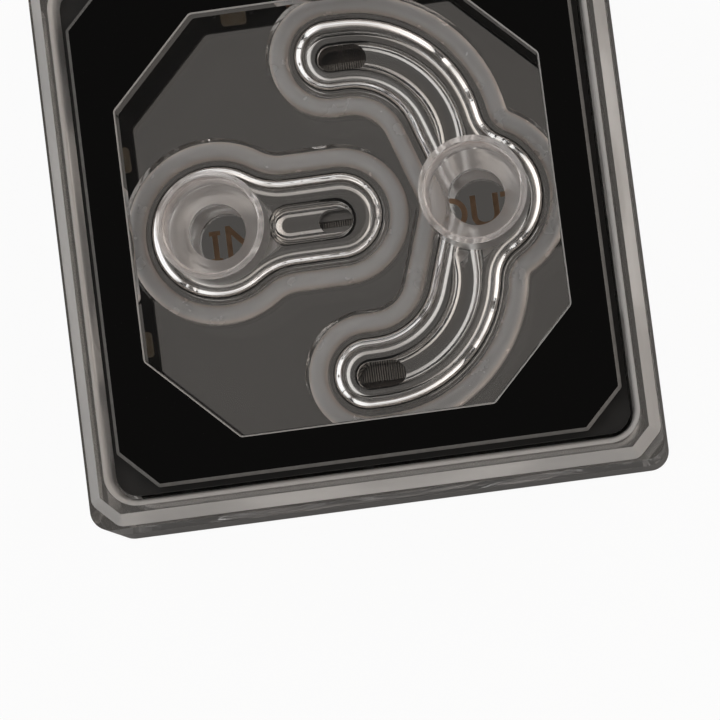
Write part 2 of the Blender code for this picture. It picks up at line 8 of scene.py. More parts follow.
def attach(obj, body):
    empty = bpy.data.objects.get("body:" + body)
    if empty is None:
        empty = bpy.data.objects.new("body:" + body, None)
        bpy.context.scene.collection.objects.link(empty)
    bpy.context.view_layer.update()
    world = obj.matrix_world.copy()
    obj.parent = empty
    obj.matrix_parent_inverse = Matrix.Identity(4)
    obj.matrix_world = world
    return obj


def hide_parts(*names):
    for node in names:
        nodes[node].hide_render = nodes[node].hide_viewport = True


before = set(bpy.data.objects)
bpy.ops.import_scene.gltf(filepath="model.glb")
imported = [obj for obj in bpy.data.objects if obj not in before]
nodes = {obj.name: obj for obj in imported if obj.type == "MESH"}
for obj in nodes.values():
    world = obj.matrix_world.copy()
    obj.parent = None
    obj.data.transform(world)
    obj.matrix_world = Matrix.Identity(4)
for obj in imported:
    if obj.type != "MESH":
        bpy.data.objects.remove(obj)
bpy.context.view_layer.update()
scene = bpy.context.scene
scene.view_settings.view_transform = 'Standard'


# Cold plate: a copper block whose fins are cut from the same metal, nickel plated all over. It
# sits in the flow body's underside and stands a little proud, to press on the processor. All of
# it below the fins' top edges is painted dark, a painted shade for the deep slots between the
# fins, and the base is lapped in one direction.
PLATE_T = 0.003
FIN_TIP = PLATE_T + 0.002
PAINTED_SHADE_EDGE = 0.0003


class Wire:
    """A shader socket that can be used in sums; each sum adds a Math node to its tree."""

    def __init__(self, socket):
        self.socket = socket

    def node(self, kind, settings=None, inputs=None, output=0):
        """Any node: its settings first, then the values or links of its sockets."""
        tree = self.socket.id_data
        made = tree.nodes.new(kind)
        for key, value in (settings or {}).items():
            setattr(made, key, value)
        for key, value in (inputs or {}).items():
            if isinstance(value, Wire):
                tree.links.new(value.socket, made.inputs[key])
            else:
                made.inputs[key].default_value = value
        return Wire(made.outputs[output])

    def maths(self, operation, *terms):
        return self.node("ShaderNodeMath", {"operation": operation}, dict(enumerate(terms)))

    def __add__(self, other):
        return self.maths("ADD", self, other)

    def __radd__(self, other):
        return self.maths("ADD", other, self)

    def __sub__(self, other):
        return self.maths("SUBTRACT", self, other)

    def __rsub__(self, other):
        return self.maths("SUBTRACT", other, self)

    def __mul__(self, other):
        return self.maths("MULTIPLY", self, other)

    def __rmul__(self, other):
        return self.maths("MULTIPLY", other, self)

    def size(self):
        """This value without its sign."""
        return self.maths("ABSOLUTE", self)

    def larger(self, other):
        return self.maths("MAXIMUM", self, other)

    def step(self, low, high):
        """0 below low, 1 above high, a smooth ramp between."""
        return self.node("ShaderNodeMapRange", {"interpolation_type": 'SMOOTHSTEP'},
                         {"Value": self, "From Min": low, "From Max": high})

    def part(self, name):
        """The X, Y or Z of a vector."""
        return self.node("ShaderNodeSeparateXYZ", None, {0: self}, name)

    def grain(self, scale, detail=2.0, stretch=(1.0, 1.0, 1.0)):
        """Noise, drawn out along an axis by a small stretch there."""
        drawn = self.node("ShaderNodeMapping", None, {"Vector": self, "Scale": stretch})
        return self.node("ShaderNodeTexNoise", None,
                         {"Vector": drawn, "Scale": scale, "Detail": detail}, "Fac")

    def mix(self, first, second):
        """A colour between two, by this share of the second."""
        return self.node("ShaderNodeMix", {"data_type": 'RGBA'},
                         {"Factor": self, 6: first, 7: second}, 2)

    def bump(self, depth, strength=1.0):
        """A surface normal from this height, which goes from 0 to 1 over the depth in metres."""
        return self.node("ShaderNodeBump", None,
                         {"Height": self, "Distance": depth, "Strength": strength})


def finish(name, colour, roughness, metallic=0.0, **fixed):
    """A material, a function that feeds its shader's sockets, and the object's coordinates."""
    made = bpy.data.materials.new(name)
    made.use_nodes = True
    tree = made.node_tree
    shader = tree.nodes["Principled BSDF"]
    shader.inputs["Base Color"].default_value = (*colour, 1.0)
    shader.inputs["Roughness"].default_value = roughness
    shader.inputs["Metallic"].default_value = metallic
    for key, value in fixed.items():
        shader.inputs[key.replace("_", " ")].default_value = value

    def feed(socket, wire):
        tree.links.new(wire.socket, shader.inputs[socket])

    place = Wire(tree.nodes.new("ShaderNodeTexCoord").outputs["Object"])
    return made, feed, place


def dress(skin, *names):
    """Gives CAD nodes that keep their shape a finished material."""
    for name in names:
        for space in nodes[name].material_slots:
            space.material = skin


nickel, feed, place = finish("nickel plate", (0.62, 0.58, 0.53), 0.2, 1.0)
lapped = place.grain(900.0, 3.0, (1.0, 0.03, 1.0))
height = place.part("Z")
# The whole plate below the fins' top edges is painted dark: painted shade for the deep slots between the
# fins.
above_painted_shade = height.step(FIN_TIP - PAINTED_SHADE_EDGE, FIN_TIP)
feed("Base Color", (0.1 + 0.9 * above_painted_shade).mix((0.10, 0.08, 0.07, 1.0), (0.62, 0.58, 0.53, 1.0)))
feed("Roughness", 0.16 + 0.2 * lapped)
feed("Normal", lapped.bump(0.000008))
dress(nickel, "cold_plate")


# Jet plate: thin stainless sheet with one slit, laid loose over the fins so that the water
# enters along their middle. It is stamped and keeps the brushed grain of the sheet.
stainless, feed, place = finish("brushed stainless", (0.55, 0.54, 0.53), 0.28, 1.0)
brushed = place.grain(1500.0, 2.0, (0.02, 1.0, 1.0))
feed("Roughness", 0.2 + 0.2 * brushed)
feed("Normal", brushed.bump(0.000006))
dress(stainless, "jet_plate")


# Cold plate seal: a moulded ring of black rubber cord. It lies in a groove in the flow body's
# underside, outside the fin chamber, and the cold plate presses on it.
rubber, feed, place = finish("black rubber", (0.02, 0.02, 0.02), 0.6)
bloom = place.grain(600.0, 4.0)
feed("Base Color", bloom.mix((0.014, 0.014, 0.014, 1.0), (0.035, 0.034, 0.033, 1.0)))
feed("Roughness", 0.5 + 0.25 * bloom)
feed("Normal", bloom.bump(0.00001))
dress(rubber, "cold_plate_seal")


# Flow body: brass block, milled from both sides and then plated to a mirror. A ball-nosed cutter
# makes the troughs in its top, end mills the slots, the fin chamber and the cold plate's seat.
HALF = 0.036
CORNER_R = 0.00255
GAP = 0.0003
EDGE_BREAK = 0.00025
PAST = 0.001
BODY_T, JET_PLATE_T, PLENUM_H = 0.0075, 0.0006, 0.001
BODY_BASE = PLATE_T + GAP
BODY_TOP = BODY_BASE + BODY_T
SKIRT_BASE = 0.0006
PLATE_HALF_X, PLATE_HALF_Y, PLATE_CORNER_R = 0.0255, 0.030, 0.003
CHAMBER_TOP = FIN_TIP + 2 * GAP + JET_PLATE_T
CHAMBER_X, CHAMBER_Y, CHAMBER_R = 0.0158, 0.0228, 0.0015
PLENUM_TOP = CHAMBER_TOP + PLENUM_H
SLIT_LENGTH, PLENUM_WIDTH = 0.024, 0.005
PLATE_SEAL_R, PLATE_SEAL_RUN, PLATE_SEAL_CORNER = 0.0009, 0.003, 0.003
PORT_X = 0.0165
INLET_TROUGH_R, INLET_FROM, INLET_TO = 0.00275, -0.00755, -0.0018
INLET_SLOT = (0.0044, 0.003)
INLET_TROUGH_DEPTH, OUTLET_TROUGH_DEPTH = 0.0020, 0.00125
OUTLET_TROUGH_R, ARM_Y, ARM_END_X, ARM_UP_Y = 0.0021, 0.0203, 0.0003, 0.0063
BEND_R, BEND_TO_PORT = 0.0123, 0.0024
BEND_X, BEND_Y = PORT_X - BEND_TO_PORT - BEND_R, ARM_Y - BEND_R
OUTLET_SLOT_X, OUTLET_SLOT = 0.0016, (0.0061, 0.0035)
SCREW_STEPS = 48
PLATE_SCREW_R, PLATE_SCREW_HEAD_R = 0.00125, 0.0024
PLATE_SCREW_HEAD_H, PLATE_SCREW_GRIP = 0.0013, 0.0036
PLATE_SCREW_MARGIN, PLATE_SCREW_Y = 0.0033, 0.009
PLATE_SCREW_XY = [(side_x * (PLATE_HALF_X - PLATE_SCREW_MARGIN), side_y * y)
                  for side_x in (-1, 1) for side_y in (-1, 1)
                  for y in (PLATE_SCREW_Y, PLATE_HALF_Y - PLATE_SCREW_MARGIN)]
COVER_SCREW_R, COVER_SCREW_HEAD_R = 0.0015, 0.00275
COVER_SCREW_HEAD_H, COVER_SCREW_GRIP = 0.0024, 0.0058
COVER_SCREW_X, COVER_SCREW_Y = 0.0295, 0.018
COVER_SCREW_XY = [(side_x * COVER_SCREW_X, side_y * COVER_SCREW_Y)
                  for side_x in (-1, 1) for side_y in (-1, 1)]


def belt(circles, offset=0.0, closed=True, step=math.radians(5), still=1e-6):
    """Points of a line drawn tight round circles (x, y, radius, side).

    Side +1 turns left round its circle and -1 turns right. A positive offset moves the line out.
    A turn of less than still radians counts as none.
    """
    count = len(circles)
    legs = count if closed else count - 1
    heading = []
    for i in range(legs):
        x0, y0, r0, s0 = circles[i]
        x1, y1, r1, s1 = circles[(i + 1) % count]
        lean = (s0 * r0 - s1 * r1) / math.hypot(x1 - x0, y1 - y0)
        heading.append(math.atan2(y1 - y0, x1 - x0) + math.asin(max(-1.0, min(1.0, lean))))
    points = []
    for i, (x, y, r, side) in enumerate(circles):
        into = heading[i - 1] if closed or i else heading[0]
        out = heading[i] if closed or i < legs else heading[-1]
        turn = (out - into) % (2 * math.pi)
        if turn > 2 * math.pi - still:
            turn = 0.0
        if side < 0 and turn:
            turn -= 2 * math.pi
        steps = max(1, math.ceil(abs(turn) / step - still)) if turn else 0
        reach = r + side * offset
        for k in range(steps + 1):
            angle = into + turn * (k / steps if steps else 0) - side * math.pi / 2
            points.append((x + reach * math.cos(angle), y + reach * math.sin(angle)))
    return points


def rounded_box(half_x, half_y, radius):
    x, y = half_x - radius, half_y - radius
    return [(x, -y, radius, 1), (x, y, radius, 1), (-x, y, radius, 1), (-x, -y, radius, 1)]


def slot_path(size, x=0.0, y=0.0):
    """The two end circles of a straight slot along X."""
    length, width = size
    reach = (length - width) / 2
    return [(x + reach, y, width / 2, 1), (x - reach, y, width / 2, 1)]


def mirrored_y(circles):
    return [(x, -y, r, side) for x, y, r, side in reversed(circles)]


def loft(name, rings, closed=False):
    """One closed body through rings of equal count; closed joins the last ring to the first."""
    bm = bmesh.new()
    rows = [[bm.verts.new(p) for p in ring] for ring in rings]
    pairs = list(zip(rows, rows[1:]))
    if closed:
        pairs.append((rows[-1], rows[0]))
    else:
        bm.faces.new(rows[0])
        bm.faces.new(rows[-1])
    for low, high in pairs:
        for k in range(len(low)):
            n = (k + 1) % len(low)
            bm.faces.new((low[k], low[n], high[n], high[k]))
    bmesh.ops.recalc_face_normals(bm, faces=bm.faces)
    mesh = bpy.data.meshes.new(name)
    bm.to_mesh(mesh)
    bm.free()
    body = bpy.data.objects.new(name, mesh)
    scene.collection.objects.link(body)
    return body


def level(points, z):
    return [(x, y, z) for x, y in points]


def stacked(name, circles, levels):
    """A body whose outline is offset from level to level; levels are (offset, z)."""
    return loft(name, [level(belt(circles, offset), z) for offset, z in levels])


def prism(name, circles, low, high):
    return stacked(name, circles, [(0.0, low), (0.0, high)])


def turned(name, profile, centre=(0.0, 0.0), steps=96):
    """A body turned on an upright axis; the profile is (radius, z) from one end to the other."""
    rings = []
    for radius, z in profile:
        angles = [2 * math.pi * k / steps for k in range(steps)]
        rings.append([(centre[0] + radius * math.cos(a), centre[1] + radius * math.sin(a), z)
                      for a in angles])
    return loft(name, rings)


def ring(name, circles, half_width, low, high):
    """A ring of rectangular section that follows a belt."""
    corners = [(half_width, low), (half_width, high), (-half_width, high), (-half_width, low)]
    return loft(name, [level(belt(circles, offset), z) for offset, z in corners], closed=True)


def trough(name, path, radius, z, depth, steps=40):
    """What a round-nosed cutter sweeps along a level path; a depth under the radius is shallow."""
    spine = [Vector((x, y)) for x, y in path]
    spine = [p for i, p in enumerate(spine) if not i or (p - spine[i - 1]).length > 1e-6]
    ends = (spine[1] - spine[0]).normalized(), (spine[-1] - spine[-2]).normalized()
    quarter = [math.pi / 2 * k / (steps // 2) for k in range(1, steps // 2 + 1)]
    stations = [(spine[0] - ends[0] * radius * math.cos(a), ends[0], radius * math.sin(a))
                for a in quarter]
    for before, point, after in zip(spine, spine[1:], spine[2:]):
        stations.append((point, (after - before).normalized(), radius))
    stations += [(spine[-1] + ends[1] * radius * math.cos(a), ends[1], radius * math.sin(a))
                 for a in reversed(quarter)]
    rings = []
    for point, heading, reach in stations:
        row = []
        for k in range(2 * steps):
            angle = math.pi * (k + 0.5) / steps
            aside = reach * math.cos(angle)
            row.append((point.x - heading.y * aside, point.y + heading.x * aside,
                        z + reach * depth / radius * math.sin(angle)))
        rings.append(row)
    return loft(name, rings)


def flatten(body, skins, sharp=math.radians(30)):
    """Turns a body's modifiers into plain mesh and gives it its materials and even shading."""
    shaped = body.evaluated_get(bpy.context.evaluated_depsgraph_get())
    mesh = bpy.data.meshes.new_from_object(shaped)
    body.modifiers.clear()
    body.data = mesh
    mesh.materials.clear()
    for skin in skins:
        mesh.materials.append(skin)
    mesh.polygons.foreach_set("material_index", [0] * len(mesh.polygons))
    for leftover in ("custom_normal", "sharp_edge"):
        if leftover in mesh.attributes:
            mesh.attributes.remove(mesh.attributes[leftover])
    mesh.shade_smooth()
    mesh.set_sharp_from_angle(angle=sharp)
    even = body.modifiers.new("even", 'WEIGHTED_NORMAL')
    even.keep_sharp = True


def carve(body, tools, skins):
    """Cuts the tools out of a body, for good."""
    for tool in tools:
        cut = body.modifiers.new("cut", 'BOOLEAN')
        cut.operation = 'DIFFERENCE'
        cut.solver = 'EXACT'
        cut.object = tool
    flatten(body, skins)
    for tool in tools:
        bpy.data.objects.remove(tool)


def seat_in(body, slot, *replaced):
    """The lines that every finished piece needs: its body and what it stands for; the slot, its finish,
    is not used.
    """
    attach(body, "root")
    if replaced:
        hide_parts(*replaced)


def arm_path(side):
    """The middle line of one arm of the outlet channel, from its far end to the port."""
    arm = [(ARM_END_X, -ARM_Y, 0.0, 1), (BEND_X, -BEND_Y, BEND_R, 1),
           (BEND_X + BEND_R, -ARM_UP_Y, 0.0, 1)]
    return belt(arm if side < 0 else mirrored_y(arm), closed=False)


mirror, feed, place = finish("mirror plating", (0.60, 0.595, 0.585), 0.04, 1.0)
wiped = place.grain(70.0, 4.0)
marks = place.grain(2600.0, 1.0, (1.0, 0.08, 1.0))
feed("Base Color", wiped.mix((0.585, 0.578, 0.565, 1.0), (0.625, 0.620, 0.612, 1.0)))
feed("Roughness", 0.025 + 0.05 * wiped)
feed("Normal", marks.bump(0.0000004))

body = stacked("flow_block", rounded_box(HALF, HALF, CORNER_R),
               [(-EDGE_BREAK, SKIRT_BASE), (0.0, SKIRT_BASE + EDGE_BREAK), (0.0, BODY_TOP)])
seat = rounded_box(PLATE_HALF_X + GAP, PLATE_HALF_Y + GAP, PLATE_CORNER_R + GAP)
seal_run = rounded_box(CHAMBER_X + PLATE_SEAL_RUN, CHAMBER_Y + PLATE_SEAL_RUN, PLATE_SEAL_CORNER)
tools = [prism("seat", seat, SKIRT_BASE - PAST, BODY_BASE),
         trough("inlet_trough", [(INLET_FROM, 0.0), (INLET_TO, 0.0)], INLET_TROUGH_R, BODY_TOP,
                INLET_TROUGH_DEPTH),
         prism("chamber", rounded_box(CHAMBER_X, CHAMBER_Y, CHAMBER_R), BODY_BASE - PAST, CHAMBER_TOP),
         prism("plenum", slot_path((SLIT_LENGTH + PLENUM_WIDTH, PLENUM_WIDTH)), CHAMBER_TOP - PAST,
               PLENUM_TOP),
         prism("inlet_slot", slot_path(INLET_SLOT, INLET_TO), CHAMBER_TOP, BODY_TOP + PAST),
         ring("seal_groove", seal_run, PLATE_SEAL_R + GAP, BODY_BASE - PAST,
              BODY_BASE + 2 * PLATE_SEAL_R + GAP)]
for side in (-1, 1):
    tools.append(trough("outlet_trough", arm_path(side), OUTLET_TROUGH_R, BODY_TOP,
                        OUTLET_TROUGH_DEPTH))
    tools.append(prism("outlet_slot", slot_path(OUTLET_SLOT, OUTLET_SLOT_X, side * ARM_Y),
                       CHAMBER_TOP - PAST, BODY_TOP + PAST))
thread = PLATE_SCREW_R + GAP
for xy in PLATE_SCREW_XY:
    tools.append(turned("plate_thread", [(thread, BODY_BASE - PAST),
                                         (thread, PLATE_T + PLATE_SCREW_GRIP + 2 * GAP)],
                        xy, SCREW_STEPS))
shelf = SKIRT_BASE + COVER_SCREW_HEAD_H + 2 * GAP
head, shank = COVER_SCREW_HEAD_R + GAP, COVER_SCREW_R + GAP
for xy in COVER_SCREW_XY:
    tools.append(turned("cover_bore", [(head, SKIRT_BASE - PAST), (head, shelf), (shank, shelf),
                                       (shank, BODY_TOP + PAST)], xy, SCREW_STEPS))
carve(body, tools, [mirror])
seat_in(body, "plated_brass", "flow_body")


# Port letters: IN and OUT engraved through the plating under the two ports, so that the warm
# metal below shows. The I has serifs, unlike the typeface, so its outline is drawn here.
LETTER_SIZE, LETTER_T, LETTER_WEIGHT = 0.0059, 0.00001, 0.00006
CAPITAL_WIDE, CAPITAL_HIGH = 0.00085, 0.00102
CAPITAL_X, CAPITAL_Y = -0.01755, -0.0011
PRINTED = (("N", -0.0142, -0.0009), ("OUT", 0.01645, -0.0013))
brass, feed, place = finish("bare brass", (0.42, 0.26, 0.15), 0.35, 1.0)
worn = place.grain(1800.0, 3.0)
feed("Base Color", worn.mix((0.24, 0.15, 0.09, 1.0), (0.40, 0.27, 0.18, 1.0)))
feed("Roughness", 0.3 + 0.25 * worn)
letters = []
for text, middle_x, middle_y in PRINTED:
    sign = bpy.data.curves.new("sign", 'FONT')
    sign.body = text
    sign.size = LETTER_SIZE
    sign.align_x = 'CENTER'
    sign.align_y = 'CENTER'
    sign.extrude = LETTER_T
    sign.offset = LETTER_WEIGHT
    drawn = bpy.data.objects.new("sign", sign)
    scene.collection.objects.link(drawn)
    mesh = bpy.data.meshes.new_from_object(
        drawn.evaluated_get(bpy.context.evaluated_depsgraph_get()))
    mesh.transform(Matrix.Translation((middle_x, middle_y, BODY_TOP + LETTER_T)))
    letters.append(mesh)
    bpy.data.objects.remove(drawn)
corners = [(-0.4, -1.45), (-0.85, -1.45), (-0.85, -2.0)]
corners += [(-x, y) for x, y in reversed(corners)]
corners += [(-x, -y) for x, y in corners]
capital = [(CAPITAL_X + x * CAPITAL_WIDE, CAPITAL_Y + y * CAPITAL_HIGH) for x, y in corners]
letter = loft("letter", [level(capital, z) for z in (BODY_TOP, BODY_TOP + 2 * LETTER_T)])
letters.append(letter.data)
bpy.data.objects.remove(letter)
bm = bmesh.new()
for mesh in letters:
    bm.from_mesh(mesh)
bmesh.ops.remove_doubles(bm, verts=bm.verts, dist=1e-7)
bmesh.ops.recalc_face_normals(bm, faces=bm.faces)
mesh = bpy.data.meshes.new("port_letters")
bm.to_mesh(mesh)
bm.free()
mesh.materials.append(brass)
lettering = bpy.data.objects.new("port_letters", mesh)
scene.collection.objects.link(lettering)
seat_in(lettering, "plated_brass")


# Channel seals: moulded rings of milky clear silicone, one round the inlet channel and one round
# both arms of the outlet channel. They lie in grooves in the cover and are pressed on the plating.
SEAL_R = 0.0012
SEAL_PORT_R = 0.0104
GROOVE_HALF = SEAL_R + GAP
COVER_BASE = BODY_TOP + GAP
INLET_SEAL_X, INLET_SEAL_OFFSET, INLET_FILLET_R = -0.0009, 0.0075, 0.006
OUTLET_SEAL_OFFSET, OUTLET_FILLET_R, WAIST_R, SEAL_LAND = 0.0065, 0.0025, 0.004, 0.00075
CORD_STEPS = 24


def inlet_seal_path():
    fillet_y = INLET_SEAL_OFFSET + INLET_FILLET_R
    fillet_x = -PORT_X + math.sqrt((SEAL_PORT_R + INLET_FILLET_R) ** 2 - fillet_y ** 2)
    return [(-PORT_X, 0.0, SEAL_PORT_R, 1), (fillet_x, -fillet_y, INLET_FILLET_R, -1),
            (INLET_SEAL_X, 0.0, INLET_SEAL_OFFSET, 1), (fillet_x, fillet_y, INLET_FILLET_R, -1)]


def outlet_seal_path():
    outer = BEND_R + OUTLET_SEAL_OFFSET
    inner = BEND_R - OUTLET_SEAL_OFFSET
    base = Vector((BEND_X, -BEND_Y))
    port = Vector((PORT_X, 0.0))
    span = (port - base).length
    from_base, from_port = outer + OUTLET_FILLET_R, SEAL_PORT_R + OUTLET_FILLET_R
    along = (from_base ** 2 - from_port ** 2 + span ** 2) / (2 * span)
    aside = math.sqrt(from_base ** 2 - along ** 2)
    unit = (port - base) / span
    fillet = base + unit * along + Vector((unit.y, -unit.x)) * aside
    waist_x = INLET_SEAL_X + INLET_SEAL_OFFSET + 2 * GROOVE_HALF + SEAL_LAND - WAIST_R
    lower = [(BEND_X, -BEND_Y, inner, -1), (ARM_END_X, -ARM_Y, OUTLET_SEAL_OFFSET, 1),
             (BEND_X, -BEND_Y, outer, 1), (fillet.x, fillet.y, OUTLET_FILLET_R, -1)]
    return ([(waist_x, 0.0, WAIST_R, -1)] + lower + [(PORT_X, 0.0, SEAL_PORT_R, 1)]
            + mirrored_y(lower))


silicone, feed, place = finish("milky silicone", (0.86, 0.85, 0.86), 0.3, 0.0,
                               Transmission_Weight=0.35, IOR=1.41)
cloudy = place.grain(350.0, 3.0)
# The cord's top is painted a cool grey and its sides a warm whitish tint: painted light for how light
# falls on its round section. The cloudy grain in it is the silicone's own.
painted_cool_top = place.part("Z").step(COVER_BASE + 1.5 * SEAL_R, COVER_BASE + 1.95 * SEAL_R)
painted_top_tint_and_cloud = painted_cool_top * (0.75 + 0.25 * cloudy)
feed("Base Color", painted_top_tint_and_cloud.mix((1.0, 0.92, 0.86, 1.0), (0.88, 0.91, 0.94, 1.0)))
feed("Roughness", 0.18 + 0.15 * cloudy)
for name, path in (("inlet", inlet_seal_path()), ("outlet", outlet_seal_path())):
    rings = []
    for k in range(CORD_STEPS):
        angle = 2 * math.pi * (k + 0.5) / CORD_STEPS
        rings.append(level(belt(path, SEAL_R * math.cos(angle)),
                           COVER_BASE + SEAL_R * (1 + math.sin(angle))))
    cord = loft(f"{name}_cord", rings, closed=True)
    flatten(cord, [silicone])
    seat_in(cord, "clear_silicone", f"{name}_seal")


# Clear cover: one block of acrylic with a sloped rim, a trench for the bezel and its lights, two
# tapped ports, and round-topped pockets over the channels in its underside. Most of it is
# polished; the slopes, the trench's outer wall and the ports keep the cutter's milky finish.
COVER_T, TRENCH_DEPTH = 0.0139, 0.0042
TOP = COVER_BASE + COVER_T
TRENCH_FLOOR = TOP - TRENCH_DEPTH
RIM_LEDGE, RIM_CHAMFER, SLOPE_WIDTH, SLOPE_DROP = 0.0003, 0.00315, 0.0014, 0.002
CREST, SHOULDER_R, WALL_LEAN, TRENCH_R = 0.0007, 0.0007, 0.0004, 0.0031
TRENCH_HALF = HALF - RIM_LEDGE - SLOPE_WIDTH - CREST - SHOULDER_R - WALL_LEAN
BEZEL_MARGIN, BEZEL_WIDTH, HAIRLINE = 0.0009, 0.005, 0.00005
BEZEL_HALF = TRENCH_HALF - BEZEL_MARGIN
WINDOW_HALF, WINDOW_CHAMFER, SOFT_R = BEZEL_HALF - BEZEL_WIDTH, 0.0108, 0.0006
PORT_MINOR_R, PORT_MOUTH_R, PORT_BORE_R = 0.0059, 0.0068, 0.0036
PORT_DEPTH, PORT_CONE = 0.0066, 0.0013
THREAD_RISE, THREAD_R, THREAD_TURNS = 0.001337, 0.00585, 4.0
THREAD_RIDGE, THREAD_START = 0.00072, 0.0007
POCKET_WALL, POCKET_DEPTH, POCKET_ROUND = 0.0004, 0.0042, 0.0027
POCKET_TOP = COVER_BASE + POCKET_DEPTH
ARC_STEPS = 12
HEADER_X, HEADER_H = 0.0076, 0.0016


def octagon(half, chamfer, radius=SOFT_R):
    """The eight softly rounded corners of a square with its corners cut at 45 degrees."""
    near = half - chamfer - radius * math.tan(math.pi / 8)
    far = half - radius
    ring = [(far, -near), (far, near), (near, far), (-near, far),
            (-far, near), (-far, -near), (-near, -far), (near, -far)]
    return [(x, y, radius, 1) for x, y in ring]


def box(name, x0, x1, y0, y1, z0, z1):
    outline = [(x0, y0), (x1, y0), (x1, y1), (x0, y1)]
    return loft(name, [level(outline, z0), level(outline, z1)])


def node_tree(name, *inputs):
    """An empty Geometry Nodes tree with named inputs, each (name, kind)."""
    tree = bpy.data.node_groups.new(name, 'GeometryNodeTree')
    face = tree.interface
    face.new_socket("Geometry", in_out='OUTPUT', socket_type='NodeSocketGeometry')
    face.new_socket("Geometry", in_out='INPUT', socket_type='NodeSocketGeometry')
    for label, kind in inputs:
        face.new_socket(label, in_out='INPUT', socket_type=kind)
    given = tree.nodes.new("NodeGroupInput")
    result = tree.nodes.new("NodeGroupOutput")

    def add(kind, settings=None, inputs=None):
        made = tree.nodes.new(kind)
        for key, value in (settings or {}).items():
            setattr(made, key, value)
        for key, value in (inputs or {}).items():
            if isinstance(value, bpy.types.NodeSocket):
                tree.links.new(value, made.inputs[key])
            else:
                made.inputs[key].default_value = value
        return made

    def end(socket, skin):
        """The two nodes that every tree ends in."""
        real = add("GeometryNodeRealizeInstances", None, {0: socket})
        dressed = add("GeometryNodeSetMaterial", None, {"Geometry": real.outputs[0],
                                                        "Material": skin})
        tree.links.new(dressed.outputs[0], result.inputs[0])

    return tree, given.outputs, add, end


def grown(name, tree, values, points=((0.0, 0.0, 0.0),)):
    """A plain mesh object from a tree, its inputs and the points that it starts from."""
    mesh = bpy.data.meshes.new(name)
    mesh.from_pydata(points, [], [])
    made = bpy.data.objects.new(name, mesh)
    scene.collection.objects.link(made)
    build = made.modifiers.new("grow", 'NODES')
    build.node_group = tree
    for item in tree.interface.items_tree:
        if item.in_out == 'INPUT' and item.name in values:
            build[item.identifier] = values[item.name]
    made.data = bpy.data.meshes.new_from_object(
        made.evaluated_get(bpy.context.evaluated_depsgraph_get()))
    made.modifiers.clear()
    return made


acrylic, feed, place = finish("clear acrylic", (0.985, 0.98, 0.975), 0.0, 0.0,
                              Transmission_Weight=1.0, IOR=1.49)
x, y, z = place.part("X"), place.part("Y"), place.part("Z")
from_axis = x.size() - PORT_X
squared = from_axis * from_axis + y * y
radius = squared.maths("SQRT", squared)
above_base = z.step(COVER_BASE + 0.0014, COVER_BASE + 0.0019)
below_top = 1 - z.step(TOP - 0.0001, TOP - 0.00005)
in_port = (1 - radius.step(PORT_MOUTH_R, PORT_MOUTH_R + 0.0001)) * above_base * below_top
haze = place.grain(500.0, 3.0)
feed("Roughness", 0.004 + in_port * (0.32 + 0.16 * haze))
waves = radius * 5200.0
turning = waves.maths("SINE", waves)
relief = in_port * (0.5 + 0.5 * turning) * 0.6
feed("Normal", relief.bump(0.00002, 0.6))

cover = prism("cover", rounded_box(HALF, HALF, CORNER_R), COVER_BASE, TOP)
rim = octagon(HALF - RIM_LEDGE, RIM_CHAMFER, SLOPE_WIDTH + EDGE_BREAK)
fall = SLOPE_WIDTH / SLOPE_DROP
foot = TOP - SLOPE_DROP
waste = prism("rim_waste", rounded_box(HALF + PAST, HALF + PAST, CORNER_R), foot, TOP + PAST)
keep = stacked("rim_keep", rim, [(PAST * fall, foot - PAST), (0.0, foot), (-SLOPE_WIDTH, TOP),
                                 (-SLOPE_WIDTH, TOP + 2 * PAST)])
carve(waste, [keep], [acrylic])

levels = [(0.0, TRENCH_FLOOR), (WALL_LEAN, TOP - SHOULDER_R)]
for k in range(1, ARC_STEPS + 1):
    angle = math.pi / 2 * k / ARC_STEPS
    levels.append((WALL_LEAN + SHOULDER_R * (1 - math.cos(angle)),
                   TOP - SHOULDER_R + SHOULDER_R * math.sin(angle)))
levels.append((WALL_LEAN + SHOULDER_R, TOP + PAST))
trench = stacked("trench", rounded_box(TRENCH_HALF, TRENCH_HALF, TRENCH_R), levels)
core = stacked("window_core", octagon(WINDOW_HALF - HAIRLINE, WINDOW_CHAMFER),
               [(0.0, TRENCH_FLOOR - PAST), (0.0, TOP + 2 * PAST)])
carve(trench, [core], [acrylic])

# The ports' G1/4 thread: a helix of triangular section, swept and cut out of the bore
tree, given, add, end = node_tree("port thread", ("Pitch", 'NodeSocketFloat'),
                                  ("Radius", 'NodeSocketFloat'), ("Turns", 'NodeSocketFloat'),
                                  ("Ridge", 'NodeSocketFloat'))
rise = add("ShaderNodeMath", {"operation": 'MULTIPLY'}, {0: given["Pitch"], 1: given["Turns"]})
helix = add("GeometryNodeCurveSpiral", None,
            {"Resolution": 72, "Rotations": given["Turns"], "Start Radius": given["Radius"],
             "End Radius": given["Radius"], "Height": rise.outputs[0]})
upright = add("GeometryNodeSetCurveNormal", {"mode": 'Z_UP'}, {"Curve": helix.outputs[0]})
section = add("GeometryNodeCurvePrimitiveCircle", None, {"Resolution": 3, "Radius": given["Ridge"]})
swept = add("GeometryNodeCurveToMesh", None, {"Curve": upright.outputs[0],
                                              "Profile Curve": section.outputs[0],
                                              "Fill Caps": True})
end(swept.outputs[0], acrylic)
thread_sizes = {"Pitch": THREAD_RISE, "Radius": THREAD_R, "Turns": THREAD_TURNS,
                "Ridge": THREAD_RIDGE}

